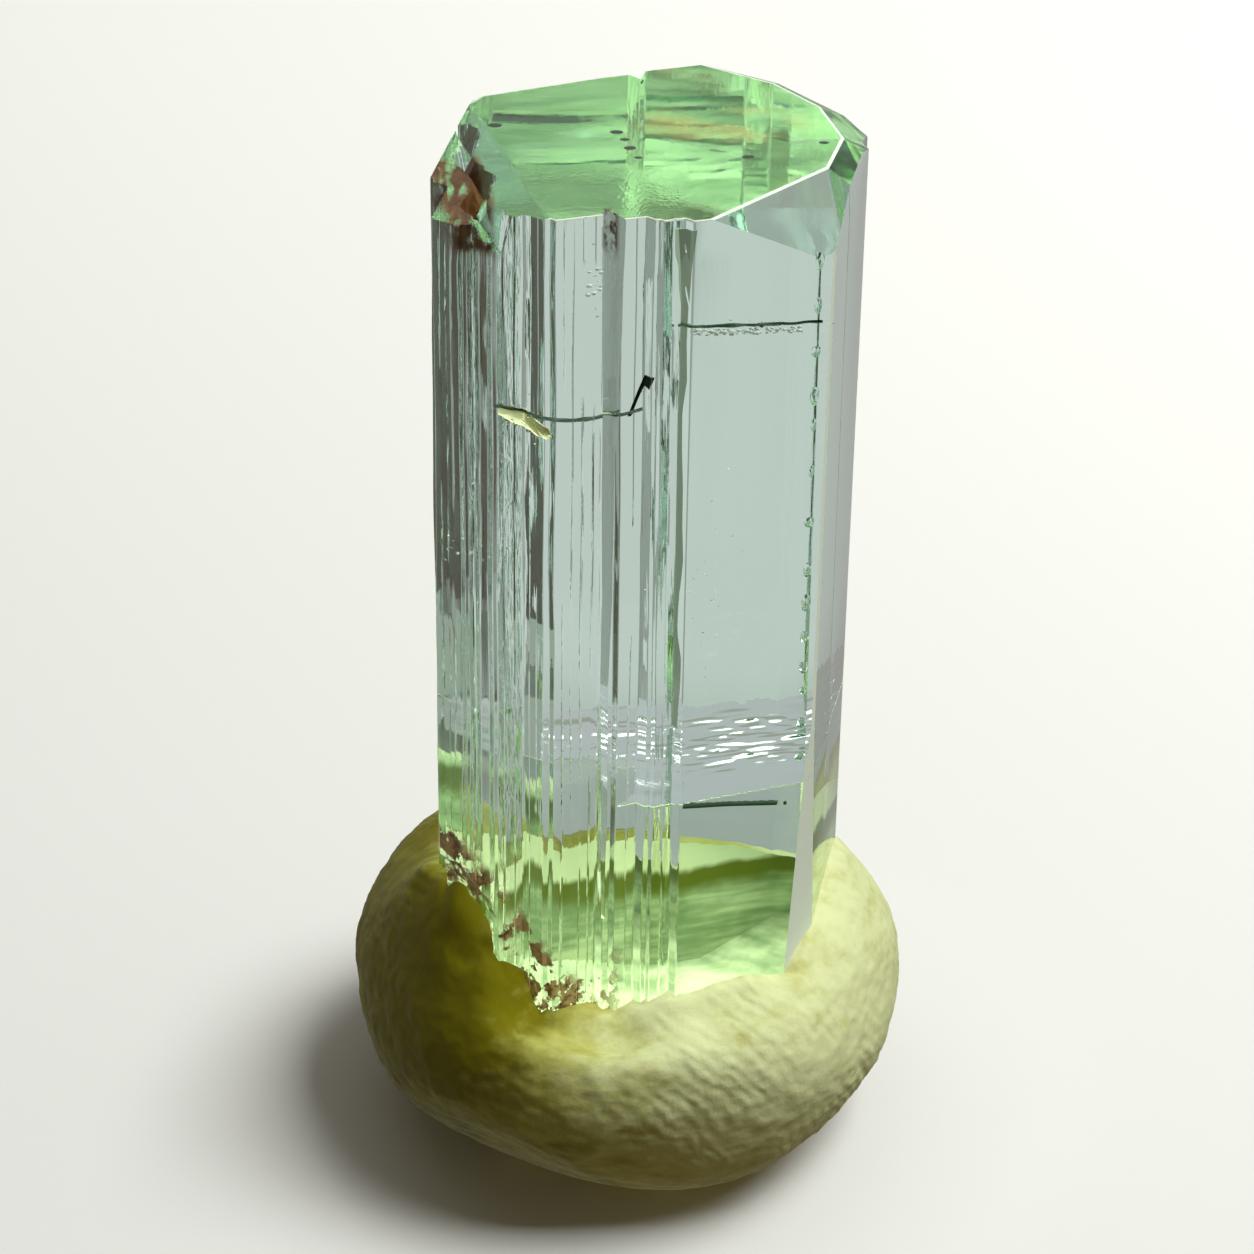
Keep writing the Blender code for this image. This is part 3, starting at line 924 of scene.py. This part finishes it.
def putty_lump():
    """The lump with its pinches, its kneaded relief and the roll of its lip."""
    lump = bmesh.new()
    bmesh.ops.create_icosphere(lump, subdivisions=7, radius=1)
    shift = Vector((*PUTTY_PLACE, PUTTY_CENTRE_HEIGHT))
    for vertex in lump.verts:
        out = vertex.co.normalized()
        point = lump_point(out)
        under = smoothstep(-PUTTY_CENTRE_HEIGHT + 0.05, -PUTTY_CENTRE_HEIGHT + 1.6, point.z)
        kneaded = 0.07 * noise.fractal(point * 0.9, 1.0, 2.1, 3)
        grain = 0.035 * noise.noise(point * 2.6) + 0.02 * noise.noise(point * 5)
        vertex.co = point + out * ((kneaded + grain - 0.05) * under) + shift
    to_own = crystal_place().inverted()
    own = np.array([to_own @ (vertex.co * MM) / MM for vertex in lump.verts])
    gaps = outline_distance(own)
    for vertex, gap in zip(lump.verts, gaps):
        if vertex.co.z > PUTTY_CENTRE_HEIGHT:
            vertex.co.z -= 0.22 * math.exp(-((gap / 0.28) ** 2))
    return lump


def putty_material(settings):
    """Kneaded putty: mottled yellow-green, with finger ridges and a satin skin, and painted shade on its
    left and lower side and left of the crystal.
    """
    material, graph = new_material("kneaded_putty")
    point, (x, y, z) = graph.place()
    mottle = graph.noise(point, 640, 4.0, 0.62)
    kneaded = graph.noise(point, 1, 3.0, 0.6, (500, 500, 1500))
    patches = graph.noise(point, 150)
    # Painted light: the colour runs lighter to the right and upwards, where the key light falls, and
    # darker to the left and below; the noise beneath is the putty's own uneven tone.
    across = x * (1 / (11 * MM)) - 0.35 * y * (1 / (11 * MM)) + 0.35 * (z * (1 / (13 * MM)) - 0.5)
    # Painted shadow of the crystal on a smooth patch left of it; the patch also flattens the relief
    # there.
    right, back = x + 7.2 * MM, y + 7.6 * MM
    shadowed_smooth_patch = (right * right + back * back).rise((5.2 * MM) ** 2, (2.2 * MM) ** 2) * z.rise_mm(5, 8)
    uneven = 0.9 * (mottle - 0.5) + 0.7 * (kneaded - 0.5) + 0.5 * (patches - 0.5)
    share = across.rise(-1.05, 1.05) + uneven - 0.45 * shadowed_smooth_patch
    olive = graph.mix(share.rise(0.0, 0.55), settings.shaded_and_dark_colour, (0.38, 0.38, 0.09))
    colour = graph.mix(share.rise(0.4, 1.0), olive, settings.lit_and_pale_colour)
    ridges = graph.make(
        "ShaderNodeTexWave",
        {"wave_type": "BANDS", "bands_direction": "DIAGONAL"},
        {
            "Vector": point,
            "Scale": WAVE_SPACING / settings.ridge_spacing,
            "Distortion": 7.0,
            "Detail": 2.0,
            "Detail Scale": 0.6,
        },
        output=1,
    )
    weave = graph.noise(point, 1, 2.0, 0.5, (3400, 3400, 1500))
    grain = graph.noise(point, 5200, 3.0, 0.6)
    pressed = graph.noise(point, 260, 1.0, 0.5).rise(0.42, 0.56)
    relief = pressed * (0.55 * ridges + 0.6 * weave) + 0.35 * grain + 1.3 * mottle + 0.6 * kneaded
    relief = relief * (1 - 0.8 * shadowed_smooth_patch)
    surface = graph.principled(
        {
            "Base Color": colour,
            "Roughness": 0.5 + 0.2 * mottle,
            "Specular IOR Level": 0.18,
            "Normal": graph.bump(0.9, settings.ridge_depth, relief),
        }
    )
    graph.finish(Surface=surface)
    return material


def socket_material(settings):
    """Putty pressed against the crystal: a pale rim, an olive line, and rippled green below; the green
    is partly painted light and the pale rim is painted light.
    """
    material, graph = new_material("pressed_putty")
    point, (_, _, z) = graph.place()
    level = z + 1.2 * MM * (graph.noise(point, 420, 3.0, 0.6) - 0.5)
    ripples = graph.noise(point, 1, 2.0, 0.5, (300, 300, 2600))
    clouds = graph.noise(point, 380, 3.0, 0.6)
    cloudy = (0.5 * ripples + 0.6 * clouds).rise(0.4, 0.7)
    # Painted light: the green is paler than the kneaded putty's, as if lit by light led down through the
    # crystal.
    green = graph.mix(cloudy, (0.25, 0.34, 0.17), settings.pressed_and_lit_colour)
    colour = graph.mix(level.rise_mm(8.4, 9.4), green, (0.16, 0.19, 0.02))
    # Painted light: the pale band along the top of the socket.
    colour = graph.mix(level.rise_mm(9.9, 10.3), colour, (0.85, 0.86, 0.6))
    surface = graph.principled(
        {
            "Base Color": colour,
            "Roughness": 0.5,
            "Specular IOR Level": 0.2,
            "Normal": graph.bump(0.5, 0.05 * MM, ripples),
        }
    )
    graph.finish(Surface=surface)
    return material


def plain_surface(name, colour, roughness, clearness):
    """A surface of one colour, which lets a share of the light through."""
    material, graph = new_material(name)
    surface = graph.principled(
        {
            "Base Color": (*colour, 1),
            "Roughness": roughness,
            "Specular IOR Level": 0.1,
            "Transmission Weight": clearness,
        }
    )
    graph.finish(Surface=surface)
    return material


def floor_material(colour):
    """A pale ground, lit by the lamps where the camera sees it, with painted falloff that darkens it
    towards the front left.

    What the crystal bends or mirrors of it glows instead, as painted surroundings: grey, darkest at the
    front right and the back right and lit in a strip between the two, with painted shade close round the
    specimen. What lights the rest is a dim warm painted glow.
    """
    material, graph = new_material("pale_ground")
    _, (x, y, _) = graph.place()
    # Painted surroundings: a dark glowing patch at the front right and the back right, seen only in the
    # crystal's bends and mirrors.
    painted_dark_patch = x.rise_mm(5, 14) * (y - 1.3 * x).rise_mm(2, -8)
    painted_dark_patch = painted_dark_patch * (y * y).rise((8 * MM) ** 2, (20 * MM) ** 2)
    # Painted contact shade: the glowing surroundings darken close round the specimen.
    beside = (x * x + y * y).rise((42 * MM) ** 2, (24 * MM) ** 2)
    painted_surround = graph.mix(x.rise_mm(9, 16), (0.68, 0.69, 0.68), (0.3, 0.3, 0.28))
    painted_surround = graph.mix(beside * 0.6, painted_surround, (0.25, 0.25, 0.24))
    painted_surround = graph.mix(painted_dark_patch, painted_surround, (0.05, 0.036, 0.017))
    # Painted falloff: the ground that the camera sees is darker towards the front left.
    dimmer = [0.76 * part for part in colour]
    shade = graph.mix((y + 0.6 * x).rise_mm(-60, 160), dimmer, colour)
    ground = graph.make("ShaderNodeBsdfDiffuse", None, {"Color": shade})
    # Painted fill: a dim warm glow that the ground gives to what it lights.
    warm = (0.13, 0.09, 0.015, 1)
    mirrored, scattered = (
        graph.make("ShaderNodeEmission", None, {"Color": lit, "Strength": 1.0}) for lit in (painted_surround, warm)
    )
    graph.finish(Surface=graph.by_ray(ground, mirrored, scattered))
    return material


def studio_world():
    """Soft light: a bright patch overhead, level greys around it, and a dim warm fill."""
    world = bpy.data.worlds.new("studio")
    world.use_nodes = True
    bpy.context.scene.world = world
    graph = Graph(world.node_tree)
    point = graph.make("ShaderNodeTexCoord", output="Generated")
    y, z = (graph.make("ShaderNodeSeparateXYZ", None, {0: point}, output=axis) for axis in "YZ")
    overhead = z.rise(0.7, 0.78) * y.rise(-0.15, 0.3)
    back = y.rise(0.2, 0.8) * z.rise(0.36, 0.46)
    level = graph.mix(back, (0.4, 0.38, 0.34), (0.57, 0.55, 0.58))
    level = graph.mix(overhead, level, (2.6, 2.6, 2.5))
    seen, mirrored, fill = (
        graph.make("ShaderNodeBackground", None, {"Color": colour, "Strength": strength})
        for colour, strength in (((0.95, 0.95, 0.94, 1), 1.0), (level, 1.0), ((1.0, 0.88, 0.6, 1), 0.1))
    )
    graph.make("ShaderNodeOutputWorld", None, {"Surface": graph.by_ray(seen, mirrored, fill)})


def area_light(name, shape, size, power, colour, place, target):
    """Add a lamp that faces its target, in millimetres; it stays out of mirrors and refractions."""
    data = bpy.data.lights.new(name, "AREA")
    data.shape = shape
    data.size = data.size_y = size * MM
    data.energy = power
    data.color = colour
    lamp = bpy.data.objects.new(name, data)
    lamp.location = Vector(place) * MM
    lamp.rotation_mode = "QUATERNION"
    lamp.rotation_quaternion = (Vector(target) - Vector(place)).to_track_quat("-Z", "Y")
    lamp.visible_camera = False
    lamp.visible_glossy = False
    lamp.visible_transmission = False
    bpy.context.scene.collection.objects.link(lamp)
    return data


def add_camera(settings):
    """The camera in front of the specimen, looking down on it."""
    camera = bpy.data.objects.new("camera", bpy.data.cameras.new("camera"))
    camera.data.lens = settings.focal_length
    camera.data.clip_start = 1 * MM
    camera.data.clip_end = 10
    back = Vector((0, -math.cos(settings.elevation), math.sin(settings.elevation)))
    camera.location = Vector(CAMERA_TARGET) * MM + back * settings.distance
    camera.rotation_euler = (math.pi / 2 - settings.elevation, 0, 0)
    bpy.context.scene.collection.objects.link(camera)
    bpy.context.scene.camera = camera


def attach(piece, node):
    """Let a dressed piece stand for its CAD node."""
    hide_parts(node)
    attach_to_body(piece, "root")


class SPECIMEN_OT_crystal(bpy.types.Operator):
    """Build the clear crystal with its ribs, worn edges, chips, hollows and fractures"""

    bl_idname = "specimen.crystal"
    bl_label = "Crystal"

    def execute(self, context):
        settings = context.scene.specimen_crystal
        solid = crystal_blank(0, settings.edge_width / MM)
        roughen_ribs(solid)
        crystal = finish_piece("aquamarine", solid, crystal_place())
        crystal.data.materials.append(crystal_material(settings))
        for values in FLAW_SURFACES:
            crystal.data.materials.append(plain_surface(*values))
        carve(crystal, [hollow_cutter(), groove_cutter(), break_cutter(0), chip_cutter()])
        carve(crystal, seam_cutters())
        carve(crystal, fracture_cutters())
        add_specks(crystal)
        crystal.data.shade_smooth()
        crystal.data.set_sharp_from_angle(angle=math.radians(12))
        crystal.visible_shadow = False
        attach(crystal, "crystal")
        return {"FINISHED"}


class SPECIMEN_OT_putty(bpy.types.Operator):
    """Build the pinched lump of putty round the crystal's foot"""

    bl_idname = "specimen.putty"
    bl_label = "Putty"

    def execute(self, context):
        settings = context.scene.specimen_putty
        lump = finish_piece("putty_lump", putty_lump())
        socket = finish_piece("socket", crystal_blank(-SOCKET_OVERLAP), crystal_place())
        carve(socket, [break_cutter(SOCKET_OVERLAP)])
        for face in socket.data.polygons:
            face.material_index = 1
        lump.data.materials.append(putty_material(settings))
        lump.data.materials.append(socket_material(settings))
        carve(lump, [socket])
        lump.data.shade_smooth()
        lump.data.set_sharp_from_angle(angle=math.radians(50))
        attach(lump, "putty")
        return {"FINISHED"}


class SPECIMEN_OT_studio(bpy.types.Operator):
    """Set up the ground, the lights and the camera"""

    bl_idname = "specimen.studio"
    bl_label = "Studio"

    def execute(self, context):
        settings = context.scene.specimen_studio
        ground = bmesh.new()
        bmesh.ops.create_circle(ground, cap_ends=True, segments=96, radius=GROUND_RADIUS)
        floor = finish_piece("ground", ground)
        floor.data.materials.append(floor_material(settings.floor_colour))
        studio_world()
        colour = (0.98, 1.0, 0.96)
        area_light("key", "RECTANGLE", KEY_SIZE, settings.key_power, colour, KEY_PLACE, KEY_TARGET)
        # The light that the crystal leads down to its foot.
        colour, below = (1.0, 1.0, 0.72), (*PIPE_PLACE[:2], 0)
        pipe = area_light(
            "light_pipe", "DISK", 2 * PIPE_RADIUS, settings.pipe_power, colour, PIPE_PLACE, below
        )
        pipe.spread = math.radians(PIPE_SPREAD_DEG)
        add_camera(settings)
        context.scene.view_settings.view_transform = "Standard"
        cycles = context.scene.cycles
        cycles.max_bounces = LIGHT_BOUNCES
        cycles.transmission_bounces = LIGHT_BOUNCES
        cycles.glossy_bounces = 10
        cycles.diffuse_bounces = 2
        return {"FINISHED"}


class SPECIMEN_PT_panel(bpy.types.Panel):
    """The buttons and settings of the specimen"""

    bl_idname = "SPECIMEN_PT_panel"
    bl_label = "Aquamarine Specimen"
    bl_space_type = "VIEW_3D"
    bl_region_type = "UI"
    bl_category = "Specimen"

    def draw(self, context):
        for kind, group in zip(OPERATORS, SETTINGS):
            settings = getattr(context.scene, group)
            box = self.layout.box()
            box.operator(kind.bl_idname)
            for name in settings.__annotations__:
                box.prop(settings, name)


SETTINGS = {
    "specimen_crystal": CrystalSettings,
    "specimen_putty": PuttySettings,
    "specimen_studio": StudioSettings,
}
OPERATORS = (SPECIMEN_OT_crystal, SPECIMEN_OT_putty, SPECIMEN_OT_studio)
CLASSES = (*SETTINGS.values(), *OPERATORS, SPECIMEN_PT_panel)


def register():
    for kind in CLASSES:
        bpy.utils.register_class(kind)
    for name, kind in SETTINGS.items():
        setattr(bpy.types.Scene, name, bpy.props.PointerProperty(type=kind))


def unregister():
    for name in SETTINGS:
        delattr(bpy.types.Scene, name)
    for kind in reversed(CLASSES):
        bpy.utils.unregister_class(kind)


def main():
    register()
    bpy.ops.specimen.crystal()
    bpy.ops.specimen.putty()
    bpy.ops.specimen.studio()


if __name__ == "__main__":
    main()
